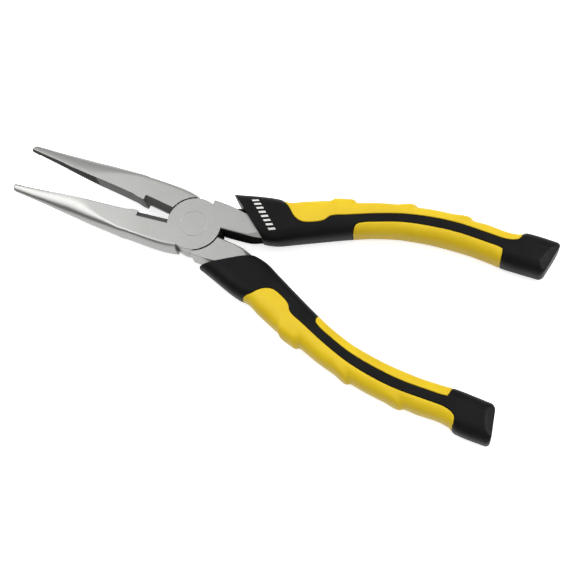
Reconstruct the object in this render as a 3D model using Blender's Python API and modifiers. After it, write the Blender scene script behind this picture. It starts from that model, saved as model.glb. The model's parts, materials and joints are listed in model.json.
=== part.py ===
"""Needle nose pliers of the 8 inch class.

Two forged steel halves cross in a riveted lap joint. Each tang carries a moulded handle made of a hard black core with
two soft yellow inlays.

Row frame: the origin is on the pivot axis, at the joint's underside. +Z is up along the pivot axis. +X runs from the
nose to the handles, midway between the two halves.

Each half is drawn in its closed frame, where its gripping face lies on y = 0, its jaw is at -x and -y and its handle
at +x and +y. The rear half is the same shape with y reversed. At rest each half is swung open by REST_SWING.
"""

import math

import bmesh
import bpy
from mathutils import Vector

MM = 0.001

# Driving dimensions.
STEEL_THICKNESS = 9.5 * MM
JAW_LENGTH = 75 * MM
JOINT_RADIUS = 10.3 * MM
GRIP_THICKNESS = 13.0 * MM
HANDLE_END = 131.5 * MM
REST_SWING = math.radians(5.75)

# Clearances.
JOINT_GAP = 0.2 * MM
LAYER_GAP = 0.15 * MM
BITE_GAP = 0.1 * MM
RIVET_GAP = 0.08 * MM
MOULD_GAP = 0.3 * MM
SOCKET_GAP = 0.3 * MM

# The jaw along x: its width, its half height, and the power of the superellipse that rounds its outer side, which
# stands a little proud of the flat upper and lower faces that cut it off.
HALF_STEEL = STEEL_THICKNESS / 2
TIP_ROUNDING = 1.2 * MM
JAW_END = -4.3 * MM
JAW_WIDTH = [(-75, 2.6), (-62, 4.6), (-50, 6.65), (-44, 7.5), (-38, 8.2), (-30, 9.1), (-22, 10.15), (-9, 11.2),
             (-3, 10.7)]
JAW_HALF_HEIGHT = [(-75, 1.4), (-68, 1.75), (-62, 2.3), (-56, 3.0), (-50, 3.7), (-44, 4.1), (-35, 4.35), (-26, 4.65),
                   (-20, 4.75), (-3, 4.75)]
JAW_POWER = [(-75, 2.0), (-50, 2.2), (-44, 2.6), (-33.5, 3.6), (-22, 5.0), (-3, 5.0)]
FACE_CUT = [(-75, 1.0), (-49, 1.0), (-41, 1.04), (-35, 1.1), (-26, 1.15), (-3, 1.15)]

# How far the gripping face stands back from the closing plane along x: a shallow hollow behind the teeth.
JAW_BITE_GAP = [(-75, 0.1), (-48, 0.1), (-40, 0.35), (-28, 0.5), (-24, 0.1), (-3, 0.1)]

# The tip's section is this share of the full section, and these shares of the rounding's length get a station.
TIP_SHARE = 0.72
TIP_STATIONS = (0, 0.15, 0.45)

# Teeth on the gripping face, and the cutter beside the joint: a hollow above the cutting edge and a relief below it.
TEETH_START, TEETH_END = -72 * MM, -44 * MM
TOOTH_PITCH, TOOTH_DEPTH = 1.4 * MM, 0.35 * MM
CUTTER_START, CUTTER_END = -22.5 * MM, -8 * MM
CUTTER_HOLLOW, CUTTER_RELIEF = 2.3 * MM, 1.7 * MM
CUTTER_EDGE_HEIGHT = 2.7 * MM

# The rivet: a straight shank between two countersunk heads that are ground flush with the joint's faces.
RIVET_SHANK, RIVET_HEAD, RIVET_STRAIGHT, RIVET_RIM = 3.2 * MM, 5.0 * MM, 2.4 * MM, 0.3 * MM

# Edges of the steel from the joint to the end of the tang, as (x, y) in mm, and the half thickness along it.
SHANK_START, TANG_END = 4.6 * MM, 112 * MM
SHANK_OUTER = [(4, 11.1), (9, 10.6), (14, 9.7), (20, 8.7), (27, 9.1), (34, 11.9), (45, 16.2), (60, 20.8),
               (74, 23.6), (88, 24.4), (112, 22.1)]
SHANK_INNER = [(4, 0.9), (20.5, 0.55), (26.5, 1.5), (34, 5.9), (45, 11.1), (60, 15.8), (74, 18.4), (88, 19.2),
               (112, 16.9)]
SHANK_HALF_THICKNESS = [(4, 4.75), (26, 4.75), (40, 3.2), (112, 3.2)]
SHANK_CORNER = 0.9 * MM

# Edges of the grip, and how far its inner edge trails its outer edge along x: the guard's front and the heel lean.
# The grip's section is a superellipse of this power, cut a little short by flat upper and lower faces.
GRIP_START = 10.4 * MM
GRIP_OUTER = [(10, 15.9), (28, 18.1), (31, 17.7), (38, 19.7), (48, 22.5), (58, 24.3), (68, 26.2), (80, 27.6),
              (90, 27.8), (103, 26.9), (113, 25.6), (116, 25.8), (119, 27.0), (131.5, 26.0)]
GRIP_INNER = [(25, 1.0), (31, 1.15), (38, 3.5), (48, 7.2), (57, 10.45), (66, 13.2), (76, 15.1), (87, 15.7),
              (98, 15.3), (108, 14.05), (114, 13.0), (127, 12.1)]
GRIP_LEAN = [(10, 16.4), (50, 0.0), (108, 0.0), (131, -4.2)]
GRIP_SQUARENESS = 2.8
GRIP_FACE_CUT = 1.02
HEEL_BEVEL_START, HEEL_HALF_THICKNESS = 124 * MM, 4.6 * MM

# The yellow inlays: how deep they sit in the core, and their outlines on the grip's upper and lower faces.
INLAY_DEPTH_SIDE, INLAY_DEPTH_FACE = 1.7 * MM, 1.5 * MM
OUTER_INLAY_EDGE = [(29.5, 19.2), (29.9, 17.2), (32.7, 14.7), (35.7, 11.5), (39.1, 10.1), (43.1, 10.9), (46.7, 12.5),
                    (49.1, 15.0), (54.9, 16.8), (64.9, 19.8), (74.8, 22.1), (84.8, 23.2), (94.8, 23.25),
                    (104.8, 22.2), (111.8, 21.5), (115.8, 22.3), (117.2, 24.4), (117.8, 29)]
INNER_INLAY_EDGE = [(58, 7.5), (58.3, 13.2), (60.3, 15.0), (64.9, 16.5), (74.9, 18.8), (84.9, 19.7), (94.9, 19.75),
                    (104.9, 18.7), (110.5, 17.9), (111.8, 16.5), (112, 7.5)]
OUTER_INLAY_BACK, INNER_INLAY_BACK = 34, -2
BED_INSET = 2 * MM

# Finger ridges on the outer inlay, in mm: where each starts to rise, its crest, where it has dropped, and its height.
RIDGES = [(47.0, 55.5, 58.5, 1.0), (70.0, 78.0, 81.5, 0.7), (90.0, 98.5, 102.0, 0.7)]

# Mesh resolution.
ROUND_STEPS = 12
CORNER_STEPS = 3
OUTLINE_STEPS = 3
JAW_STATIONS = 13
SHANK_STATIONS = 14
GRIP_STATIONS = 23
CIRCLE_STEPS = 48

STEEL = ("steel", (0.62, 0.62, 0.60), 0.32, 1.0)
BLACK = ("black_plastic", (0.02, 0.02, 0.021), 0.45, 0.0)
YELLOW = ("yellow_rubber", (0.86, 0.62, 0.02), 0.5, 0.0)


# Scene, materials and small geometry helpers.

def clear_scene():
    for obj in list(bpy.data.objects):
        bpy.data.objects.remove(obj)


def material(name, colour, roughness, metallic):
    made = bpy.data.materials.get(name) or bpy.data.materials.new(name)
    made.use_nodes = True
    shader = made.node_tree.nodes["Principled BSDF"]
    shader.inputs["Base Color"].default_value = (*colour, 1)
    shader.inputs["Roughness"].default_value = roughness
    shader.inputs["Metallic"].default_value = metallic
    made.diffuse_color = (*colour, 1)
    return made


def collection(name, shown=True):
    made = bpy.data.collections.new(name)
    bpy.context.scene.collection.children.link(made)
    made.hide_render = not shown
    return made


def curve_at(points, x):
    """The smooth curve through points in mm, read at x in metres. Slopes never overshoot the points."""
    x /= MM
    if x <= points[0][0]:
        return points[0][1] * MM
    if x >= points[-1][0]:
        return points[-1][1] * MM
    i = max(k for k in range(len(points) - 1) if points[k][0] <= x)
    rises = [(b[1] - a[1]) / (b[0] - a[0]) for a, b in zip(points, points[1:])]

    def slope(k):
        if k == 0 or k == len(points) - 1:
            return rises[min(k, len(rises) - 1)]
        before, after = rises[k - 1], rises[k]
        return 0 if before * after <= 0 else 2 * before * after / (before + after)

    (x0, y0), (x1, y1) = points[i], points[i + 1]
    span = x1 - x0
    t = (x - x0) / span
    y = ((1 + 2 * t) * (1 - t) ** 2 * y0 + t * (1 - t) ** 2 * span * slope(i)
         + t * t * (3 - 2 * t) * y1 + t * t * (t - 1) * span * slope(i + 1))
    return y * MM


def smooth_outline(points, steps):
    """A Catmull-Rom curve in plan through points in mm, as (x, y) in metres."""
    ends = [points[0], *points, points[-1]]
    found = []
    for a, b, c, d in zip(ends, ends[1:], ends[2:], ends[3:]):
        for k in range(steps):
            t = k / steps
            found.append([0.5 * MM * (2 * b[i] + (c[i] - a[i]) * t + (2 * a[i] - 5 * b[i] + 4 * c[i] - d[i]) * t * t
                          + (3 * b[i] - a[i] - 3 * c[i] + d[i]) * t ** 3) for i in (0, 1)])
    return found + [[points[-1][0] * MM, points[-1][1] * MM]]


def spread(start, end, count):
    return [start + (end - start) * k / (count - 1) for k in range(count)]


def object_from(bm, name, home):
    bmesh.ops.recalc_face_normals(bm, faces=bm.faces)
    mesh = bpy.data.meshes.new(name)
    bm.to_mesh(mesh)
    bm.free()
    obj = bpy.data.objects.new(name, mesh)
    home.objects.link(obj)
    return obj


def loft(name, rings, home):
    """One closed body through rings of equal point counts, capped flat at both ends."""
    bm = bmesh.new()
    rows = [[bm.verts.new(p) for p in ring] for ring in rings]
    for first, second in zip(rows, rows[1:]):
        for k in range(len(first)):
            after = (k + 1) % len(first)
            bm.faces.new((first[k], first[after], second[after], second[k]))
    bm.faces.new(rows[0])
    bm.faces.new(rows[-1])
    return object_from(bm, name, home)


def prism(name, outline, low, high, home):
    """A flat outline in plan, raised from low to high."""
    return loft(name, [[(x, y, z) for x, y in outline] for z in (low, high)], home)


def cylinder(name, radius, low, high, home):
    bm = bmesh.new()
    bmesh.ops.create_cone(bm, cap_ends=True, segments=CIRCLE_STEPS, radius1=radius, radius2=radius, depth=high - low)
    bmesh.ops.translate(bm, verts=bm.verts, vec=(0, 0, (low + high) / 2))
    return object_from(bm, name, home)


def combine(obj, operation, other):
    """Applies a Boolean, so that later ones start from a plain mesh."""
    step = obj.modifiers.new(operation.lower(), "BOOLEAN")
    step.operation = operation
    step.object = other
    graph = bpy.context.evaluated_depsgraph_get()
    result = bpy.data.meshes.new_from_object(obj.evaluated_get(graph))
    obj.modifiers.clear()
    obj.data = result
    return obj


def finish(obj, look, hinge, sharp=35):
    obj.data.materials.clear()
    obj.data.materials.append(material(*look))
    obj.data.shade_smooth()
    obj.data.set_sharp_from_angle(angle=math.radians(sharp))
    obj.parent = hinge
    return obj


# The steel halves.

def jaw_section(x, side):
    """A D shaped ring: flat on the gripping face, a superellipse outside, cut off by the two ground faces."""
    width, height = curve_at(JAW_WIDTH, x), curve_at(JAW_HALF_HEIGHT, x)
    blunt = min(1.0, (x + JAW_LENGTH) / TIP_ROUNDING)
    shrink = TIP_SHARE + (1 - TIP_SHARE) * math.sqrt(1 - (1 - blunt) ** 2)
    gap = curve_at(JAW_BITE_GAP, x)
    power, proud = 2 / (curve_at(JAW_POWER, x) / MM), curve_at(FACE_CUT, x) / MM
    ring = []
    for k in range(ROUND_STEPS + 1):
        angle = math.pi * (0.5 - k / ROUND_STEPS)
        across = width * shrink * max(0.0, math.cos(angle)) ** power
        up = height * shrink * min(1.0, proud * abs(math.sin(angle)) ** power)
        ring.append((x, -side * (gap + across), math.copysign(up, math.sin(angle))))
    return ring


def shank_section(x, side):
    """A rounded box between the steel's inner and outer edges."""
    inner, outer, half = (curve_at(edge, x) for edge in (SHANK_INNER, SHANK_OUTER, SHANK_HALF_THICKNESS))
    corner = SHANK_CORNER
    ring = []
    for cy, cz, start in ((outer - corner, half - corner, 0.0), (inner + corner, half - corner, 0.5),
                          (inner + corner, corner - half, 1.0), (outer - corner, corner - half, 1.5)):
        for k in range(CORNER_STEPS + 1):
            angle = math.pi * (start + 0.5 * k / CORNER_STEPS)
            ring.append((x, side * (cy + corner * math.cos(angle)), cz + corner * math.sin(angle)))
    return ring


def cutter_tool(side, home):
    """The space beside the joint that leaves the side cutter: its section lies across x."""
    far = HALF_STEEL + MM
    section = [(MM, far), (-CUTTER_HOLLOW, far), (-CUTTER_HOLLOW, HALF_STEEL), (-BITE_GAP, CUTTER_EDGE_HEIGHT),
               (-CUTTER_RELIEF, -HALF_STEEL), (-CUTTER_RELIEF, -far), (MM, -far)]
    rings = [[(x, side * y, z) for y, z in section] for x in (CUTTER_START, CUTTER_END)]
    return loft("cutter_tool", rings, home)


def teeth_tool(side, home):
    """A saw edge in plan that cuts the gripping teeth."""
    count = round((TEETH_END - TEETH_START) / TOOTH_PITCH)
    face = -BITE_GAP
    outline = [(TEETH_START, MM), (TEETH_START, face)]
    for k in range(count):
        x = TEETH_START + k * TOOTH_PITCH
        outline += [(x + TOOTH_PITCH / 2, face - TOOTH_DEPTH), (x + TOOTH_PITCH, face)]
    outline.append((TEETH_END, MM))
    far = HALF_STEEL + MM
    return prism("teeth_tool", [(x, side * y) for x, y in outline], -far, far, home)


def rivet_profile(gap):
    """Radius and height of the rivet's outside, or of its hole when gap is above zero, from the top down."""
    top = HALF_STEEL if gap == 0 else HALF_STEEL + MM
    head, shank = RIVET_HEAD + gap, RIVET_SHANK + gap
    half = [(0, top), (head, top), (head, HALF_STEEL - RIVET_RIM), (shank, RIVET_STRAIGHT)]
    return half + [(r, -z) for r, z in reversed(half)]


def turned(name, profile, home):
    """A profile of (radius, height) turned round the pivot axis."""
    bm = bmesh.new()
    points = [bm.verts.new((r, 0, z)) for r, z in profile]
    for first, second in zip(points, points[1:]):
        bm.edges.new((first, second))
    mesh = bpy.data.meshes.new(name)
    bm.to_mesh(mesh)
    bm.free()
    obj = bpy.data.objects.new(name, mesh)
    home.objects.link(obj)
    screw = obj.modifiers.new("turn", "SCREW")
    screw.steps = screw.render_steps = CIRCLE_STEPS
    screw.use_merge_vertices = True
    screw.merge_threshold = 1e-5
    return obj


def steel_half(name, side, rivet_hole, hinge, home, tools):
    """Jaw, joint disc, shank and tang in one forging. side is 1 for the front half, whose disc is the upper layer."""
    jaw_stations = ([-JAW_LENGTH + TIP_ROUNDING * k for k in TIP_STATIONS]
                    + spread(-JAW_LENGTH + TIP_ROUNDING, JAW_END, JAW_STATIONS))
    half = loft(name, [jaw_section(x, side) for x in jaw_stations], home)
    combine(half, "DIFFERENCE", teeth_tool(side, tools))
    combine(half, "DIFFERENCE", cutter_tool(side, tools))
    shank_stations = spread(SHANK_START, TANG_END, SHANK_STATIONS)
    combine(half, "UNION", loft("shank", [shank_section(x, side) for x in shank_stations], tools))
    far = HALF_STEEL + MM
    middle = LAYER_GAP / 2
    other_layer = (-far, middle) if side > 0 else (-middle, far)
    own_layer = (0, HALF_STEEL) if side > 0 else (-HALF_STEEL, 0)
    combine(half, "UNION", cylinder("disc", JOINT_RADIUS, *own_layer, tools))
    combine(half, "DIFFERENCE", cylinder("seat", JOINT_RADIUS + JOINT_GAP, *other_layer, tools))
    combine(half, "DIFFERENCE", rivet_hole)
    return finish(half, STEEL, hinge)


# The handles.

def ridge_height(x):
    """How far the finger ridges stand out of the outer edge at x: a long rise and a short drop."""
    x /= MM
    total = 0.0
    for start, crest, end, height in RIDGES:
        total += height * MM * max(0.0, min((x - start) / (crest - start), (end - x) / (end - crest)))
    return total


def grip_section(x, side, depth_side=0.0, depth_face=0.0, ridges=False):
    """A superellipse between the grip's edges. x is where the outer edge is; the inner edge leans forward or back."""
    inner_x = x + curve_at(GRIP_LEAN, x)
    outer_y, inner_y = curve_at(GRIP_OUTER, x), curve_at(GRIP_INNER, inner_x)
    if ridges:
        outer_y += ridge_height(x)
    outer, inner = Vector((x, outer_y)), Vector((inner_x, inner_y))
    across = (outer - inner).normalized()
    outer -= across * depth_side
    inner += across * depth_side
    bevel = max(0.0, (x - HEEL_BEVEL_START) / (HANDLE_END - HEEL_BEVEL_START))
    half = GRIP_THICKNESS / 2 + (HEEL_HALF_THICKNESS - GRIP_THICKNESS / 2) * bevel - depth_face
    middle, reach = (outer + inner) / 2, (outer - inner) / 2
    ring = []
    steps = 2 * ROUND_STEPS
    for k in range(steps):
        angle = 2 * math.pi * (k + 0.5) / steps
        c, s = math.cos(angle), math.sin(angle)
        place = middle + reach * math.copysign(abs(c) ** (2 / GRIP_SQUARENESS), c)
        up = half * min(1.0, GRIP_FACE_CUT * abs(s) ** (2 / GRIP_SQUARENESS))
        ring.append((place.x, side * place.y, math.copysign(up, s)))
    return ring


def grip_body(name, side, home, start=GRIP_START, end=HANDLE_END, **shape):
    return loft(name, [grip_section(x, side, **shape) for x in spread(start, end, GRIP_STATIONS)], home)


def inlay_prism(name, edge, back, side, shrink, home):
    """The plan region of an inlay, from its edge line out to y = back, pulled in by shrink all round."""
    line = smooth_outline(edge, OUTLINE_STEPS)
    moved = []
    for k, (x, y) in enumerate(line):
        before, after = Vector(line[max(0, k - 1)]), Vector(line[min(len(line) - 1, k + 1)])
        along = (after - before).normalized()
        inward = Vector((-along.y, along.x)) * (1 if back * MM > y else -1)
        moved.append(Vector((x, y)) + inward * shrink)
    outline = [(moved[0].x, back * MM), *[tuple(p) for p in moved], (moved[-1].x, back * MM)]
    return prism(name, [(x, side * y) for x, y in outline], -GRIP_THICKNESS, GRIP_THICKNESS, home)


def inlay(name, edge, back, side, ridges, hinge, home, tools):
    """A C shaped shell that wraps the core's side, cut from the grip's body by its outline."""
    piece = grip_body(name, side, home, ridges=ridges)
    combine(piece, "INTERSECT", inlay_prism("inlay_outline", edge, back, side, MOULD_GAP / 2, tools))
    under = grip_body("inlay_bed", side, tools, GRIP_START + BED_INSET, HANDLE_END - BED_INSET,
                      depth_side=INLAY_DEPTH_SIDE - MOULD_GAP / 2, depth_face=INLAY_DEPTH_FACE - MOULD_GAP / 2)
    combine(piece, "DIFFERENCE", under)
    return finish(piece, YELLOW, hinge)


def grip_core(name, side, hinge, home, tools):
    """The hard sleeve: guard, centre rib and heel, with beds for the inlays and a socket for the tang."""
    core = grip_body(name, side, home)
    for edge, back in ((OUTER_INLAY_EDGE, OUTER_INLAY_BACK), (INNER_INLAY_EDGE, INNER_INLAY_BACK)):
        room = inlay_prism("inlay_room", edge, back, side, -MOULD_GAP / 2, tools)
        bed = grip_body("core_bed", side, tools, GRIP_START + BED_INSET, HANDLE_END - BED_INSET,
                        depth_side=INLAY_DEPTH_SIDE + MOULD_GAP / 2, depth_face=INLAY_DEPTH_FACE + MOULD_GAP / 2)
        combine(room, "DIFFERENCE", bed)
        combine(core, "DIFFERENCE", room)
    combine(core, "DIFFERENCE", tang_socket(side, tools))
    return finish(core, BLACK, hinge)


def tang_socket(side, home):
    """The shank's own shape, grown by the socket's clearance."""
    rings = []
    for x in spread(SHANK_START, TANG_END, SHANK_STATIONS):
        ring = shank_section(x, side)
        middle = sum((Vector(p) for p in ring), Vector()) / len(ring)
        grown = []
        for p in ring:
            away = Vector(p) - middle
            grown.append((x, p[1] + math.copysign(SOCKET_GAP, away.y), p[2] + math.copysign(SOCKET_GAP, away.z)))
        rings.append(grown)
    deepest = [(TANG_END + SOCKET_GAP, y, z) for _, y, z in rings[-1]]
    return loft("tang_socket", rings + [deepest], home)


def build():
    clear_scene()
    parts, tools = collection("needle_nose_pliers"), collection("tools", shown=False)
    joint = bpy.data.objects.new("joint", None)
    joint.location.z = HALF_STEEL
    parts.objects.link(joint)

    finish(turned("pivot_rivet", rivet_profile(0), parts), STEEL, joint)
    rivet_hole = turned("rivet_hole", rivet_profile(RIVET_GAP), tools)
    graph = bpy.context.evaluated_depsgraph_get()
    hole_mesh = bpy.data.meshes.new_from_object(rivet_hole.evaluated_get(graph))
    rivet_hole.modifiers.clear()
    rivet_hole.data = hole_mesh

    for prefix, side in (("front", 1), ("rear", -1)):
        hinge = bpy.data.objects.new(prefix + "_hinge", None)
        hinge.parent = joint
        hinge.rotation_euler.z = side * REST_SWING
        parts.objects.link(hinge)
        steel_half(prefix + "_half", side, rivet_hole, hinge, parts, tools)
        grip_core(prefix + "_grip_core", side, hinge, parts, tools)
        inlay(prefix + "_outer_inlay", OUTER_INLAY_EDGE, OUTER_INLAY_BACK, side, True, hinge, parts, tools)
        inlay(prefix + "_inner_inlay", INNER_INLAY_EDGE, INNER_INLAY_BACK, side, False, hinge, parts, tools)

    for tool in tools.objects:
        tool.hide_render = True
        tool.display_type = "WIRE"


build()
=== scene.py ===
"""Looks for the needle nose pliers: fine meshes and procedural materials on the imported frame, and a studio.

Shapes are drawn in millimetres in each half's closed frame. There the gripping face lies on y = 0, the jaw
is at -x and -y, and the handle at +x and +y. The rear half has y reversed: side is -1 for it, and 1 for the
front half. place() swings a piece open and scales it to metres.
"""

import json
import math

import bmesh
import bpy
from mathutils import Matrix, Vector
from mathutils.bvhtree import BVHTree


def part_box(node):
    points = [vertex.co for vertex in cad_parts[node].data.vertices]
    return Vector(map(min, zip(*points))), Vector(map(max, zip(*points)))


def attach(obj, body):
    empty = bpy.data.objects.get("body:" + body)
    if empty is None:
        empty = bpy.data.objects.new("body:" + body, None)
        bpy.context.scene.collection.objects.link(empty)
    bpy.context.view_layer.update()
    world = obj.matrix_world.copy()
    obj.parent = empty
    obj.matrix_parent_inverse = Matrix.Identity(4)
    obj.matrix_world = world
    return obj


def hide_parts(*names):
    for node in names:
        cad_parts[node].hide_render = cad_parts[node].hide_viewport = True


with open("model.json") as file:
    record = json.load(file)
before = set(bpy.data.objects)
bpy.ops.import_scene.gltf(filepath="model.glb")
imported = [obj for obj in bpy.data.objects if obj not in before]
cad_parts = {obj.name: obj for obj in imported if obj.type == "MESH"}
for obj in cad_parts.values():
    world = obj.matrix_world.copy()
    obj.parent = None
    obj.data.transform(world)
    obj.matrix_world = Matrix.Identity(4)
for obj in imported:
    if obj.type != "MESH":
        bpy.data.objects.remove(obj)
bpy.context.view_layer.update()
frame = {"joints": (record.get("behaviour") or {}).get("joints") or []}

# What the frame gives: the joint's height, the steel's thickness and each half's share of the opening.
MM = 0.001
RIVET_LOW, RIVET_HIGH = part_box("pivot_rivet")
JOINT_HEIGHT = (RIVET_LOW.z + RIVET_HIGH.z) / 2
HALF_STEEL = (RIVET_HIGH.z - RIVET_LOW.z) / 2 / MM
GRIP_LOW, GRIP_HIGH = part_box("front_grip_core")
HALF_GRIP = (GRIP_HIGH.z - GRIP_LOW.z) / 2 / MM
ABOVE_GRIP = 2 * HALF_GRIP
SWING = math.radians(frame["joints"][0]["range_deg"][1]) / 2

# Clearances and small edge breaks. Cutting tools reach past what they cut by CUT_MARGIN.
JOINT_GAP = 0.3
LAYER_GAP = 0.15
BITE_GAP = 0.1
RIVET_GAP = 0.004
MOULD_GAP = 0.05
SOCKET_GAP = 0.3
EDGE_BREAK = 0.15
CUT_MARGIN = 1
CUT_HEIGHT = HALF_STEEL + CUT_MARGIN

# The jaw along x: its width, its half height, the gap at its gripping face, the power of its rounded outer
# side, the share of its width that the flat upper and lower faces take, and the chamfer beside its gripping
# face. FACE_BLEND softens the edges of the flat faces. The tip is rounded off over TIP_ROUNDING, down to
# TIP_SHARE of the section.
JAW_LENGTH = 75
JAW_END = -4.3
TIP_ROUNDING, TIP_SHARE = 1.2, 0.72
JAW_WIDTH = [(-75, 2.6), (-62, 4.6), (-50, 6.65), (-44, 7.5), (-38, 8.2), (-30, 9.1), (-22, 10.15),
             (-9, 11.2), (-3, 10.7)]
JAW_HALF_HEIGHT = [(-75, 1.4), (-68, 1.75), (-62, 2.3), (-56, 3.0), (-50, 3.7), (-44, 4.1), (-35, 4.35),
                   (-26, 4.65), (-20, 4.75), (-3, 4.75)]
JAW_BITE_GAP = [(-75, 0.1), (-48, 0.1), (-40, 0.35), (-28, 0.5), (-24, 0.1), (-3, 0.1)]
JAW_POWER = [(-75, 2.0), (-50, 2.2), (-44, 2.6), (-33.5, 3.6), (-22, 5.0), (-3, 5.0)]
FACE_EDGE = [(-75, 0.0), (-49, 0.0), (-41, 0.48), (-35, 0.7), (-26, 0.85), (-22, 0.87), (-3, 0.87)]
FACE_BLEND = 0.03
BITE_CHAMFER = [(-75, 0.5), (-60, 0.45), (-56, 0.15), (-3, 0.15)]
TEETH_START, TEETH_END = -72, -44
TOOTH_PITCH, TOOTH_DEPTH = 1.0, 0.3

# The side cutter between the teeth and the joint: a hollow above its edge and a relief below it.
CUTTER_START, CUTTER_END = -22.5, -8
CUTTER_HOLLOW, CUTTER_RELIEF, CUTTER_EDGE_HEIGHT = 2.3, 1.7, 2.7

# The joint's radius, and the rivet: radii of its shank and heads, half the height of its straight shank, the
# depth of a head's straight rim, and its edge break.
JOINT_RADIUS = 10.3
RIVET_SHANK, RIVET_HEAD = 3.2, 5.0
RIVET_STRAIGHT, RIVET_RIM, RIVET_EDGE = 2.4, 0.3, 0.012

# Which faces of the steel are painted dark as shade: the bite faces, and the walls within the joint and between
# the handles. A number named FACING is the least part of a face's normal that points the way meant: into the
# bite;
# towards the handle, in the notch and in the crotch; at the pivot; or at the shank's inner side. CROTCH_ASIDE
# is the most that may point at the outer side. CUTTER_DARKNESS stands beside the teeth's 1. The other numbers
# are lengths.
BITE_FACING, NOTCH_FACING, BITE_SKIN = 0.3, 0.6, 0.1
PIVOT_FACING, FACE_SKIN = 0.3, 0.01
CROTCH_START, CROTCH_REACH, CROTCH_FACING, CROTCH_ASIDE = 3, 2, 0.35, 0.5
INNER_WALL_START, INNER_WALL_FACING = 6, 0.75
CUTTER_DARKNESS = 0.75

# The shank and tang along x: the corner radius, the bevel on the inner edge, the edges in plan, and the half
# thickness. The bevel's depth is BEVEL_STEEPNESS times its width.
SHANK_START, TANG_END = 4.6, 112
SHANK_CORNER = [(4, 0.35), (112, 0.9)]
INNER_BEVEL = [(4, 0.35), (19.5, 0.35), (27, 2.6), (34, 2.0), (112, 0.9)]
BEVEL_STEEPNESS = 0.8
SHANK_OUTER = [(4, 11.1), (9, 10.6), (14, 9.7), (20, 8.7), (27, 9.1), (34, 11.9), (45, 16.2), (60, 20.8),
               (74, 23.6), (88, 24.4), (112, 22.1)]
SHANK_INNER = [(4, 0.9), (20.5, 0.55), (26.5, 1.5), (34, 5.9), (45, 11.1), (60, 15.8), (74, 18.4),
               (88, 19.2), (112, 16.9)]
SHANK_HALF_THICKNESS = [(4, HALF_STEEL), (26, HALF_STEEL), (40, 3.2), (112, 3.2)]

# The grip along x: its edges in plan, how far the inner edge trails the outer edge, and its half thickness.
GRIP_START, HANDLE_END = 10.4, 131.5
GRIP_OUTER = [(10, 15.9), (28, 18.1), (31, 17.7), (38, 19.7), (48, 22.5), (58, 24.3), (68, 26.2), (80, 27.6),
              (90, 27.8), (103, 26.9), (113, 25.6), (116, 25.8), (119, 27.0), (131.5, 26.0)]
GRIP_INNER = [(25, 0.5), (28, 0.6), (31, 1.0), (38, 3.5), (48, 7.2), (57, 10.45), (66, 13.2), (76, 15.1),
              (87, 15.7), (98, 15.3), (108, 14.05), (114, 13.0), (127, 12.1)]
GRIP_LEAN = [(8.8, 17.9), (10, 16.4), (50, 0.0), (108, 0.0), (131, -4.2)]
GRIP_HALF_THICKNESS = [(10, 6.1), (22, 6.3), (34, HALF_GRIP), (132, HALF_GRIP)]

# The grip's section is a superellipse of power GRIP_SQUARENESS. It is drawn GRIP_FACE_CUT times as high as
# the half thickness, and cut flat at the half thickness.
GRIP_SQUARENESS, GRIP_FACE_CUT = 2.8, 1.02

# The rear guard is trimmed along its outer edge and reaches further forward.
REAR_GUARD_TRIM = [(8, 2.3), (18, 1.6), (30, 0.4), (36, 0.0)]
REAR_GUARD_FORWARD = 1.2

# The heel's rounded end, and the slanting facet on its faces: where it starts along x at the outer and at the
# inner side, how steeply it falls, where the inner side lies, and how wide the heel is.
HEEL_ROUNDING = 1.8
HEEL_FACET_OUTER, HEEL_FACET_INNER, HEEL_FACET_SLOPE = 129.8, 123.1, 0.5
HEEL_INNER_SIDE, HEEL_WIDTH = 12.0, 14.0

# The yellow inlays: their depth in the core, how far from the grip's ends their beds stop, their edge lines
# in plan, and for each a y that lies beyond the grip's side.
INLAY_DEPTH_SIDE, INLAY_DEPTH_FACE = 1.7, 1.5
BED_INSET = 2
OUTER_INLAY_EDGE = [(29.5, 19.2), (29.9, 17.2), (32.7, 14.7), (35.7, 11.5), (39.1, 10.1), (43.1, 10.9),
                    (46.7, 12.5), (49.1, 15.0), (54.9, 16.8), (64.9, 19.8), (74.8, 22.1), (84.8, 23.2),
                    (94.8, 23.25), (104.8, 22.2), (111.8, 21.5), (115.8, 22.3), (117.2, 24.4), (117.8, 29)]
INNER_INLAY_EDGE = [(58, 7.5), (58.3, 13.2), (60.3, 15.0), (64.9, 16.5), (74.9, 18.8), (84.9, 19.7),
                    (94.9, 19.75), (104.9, 18.7), (110.5, 17.9), (111.8, 16.5), (112, 7.5)]
OUTER_INLAY_BACK, INNER_INLAY_BACK = 34, -2

# Finger ridges on the outer inlay: where each starts to rise, its crest at the outer edge, where it has
# dropped, its height, and how far its crest leans back towards the joint on the faces. A shallow scoop
# follows each drop. A ridge lifts the faces by RIDGE_LIFT of its height, and fades over RIDGE_FADE of the way
# round from the outer edge to the middle of a face.
RIDGES = [(46.9, 48.6, 56.6, 0.95, 1.0), (72.0, 77.6, 79.5, 0.7, 4.5), (92.2, 98.2, 100.2, 0.7, 4.5)]
RIDGE_DROP, RIDGE_LIFT = 1.5, 0.4
RIDGE_FADE = (0.5, 0.95)
SCOOP_DEPTH, SCOOP_LENGTH = 0.3, 7.0

# The collar round the shank, ahead of the guard: it grows along the shank's two edges over these stretches of
# x, and its faces lie COLLAR_STEP below the steel's.
COLLAR_OUTER, COLLAR_INNER = (11.5, 17.5), (23.5, 29.0)
COLLAR_OUTER_GROWTH, COLLAR_INNER_GROWTH, COLLAR_STEP, COLLAR_END = 1.1, 0.5, 0.35, 33.0

# The plain printed mark on the front guard: a row of slanted bars along a line in plan.
MARK_START, MARK_STEP, MARK_BARS = Vector((19.9, 14.2)), Vector((1.32, -1.36)), 8
MARK_BAR_HEIGHT, MARK_BAR_WIDTH, MARK_SLANT = 2.3, 0.85, 0.5
MARK_PROUD, MARK_SUNK = 0.04, 0.12

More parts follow.
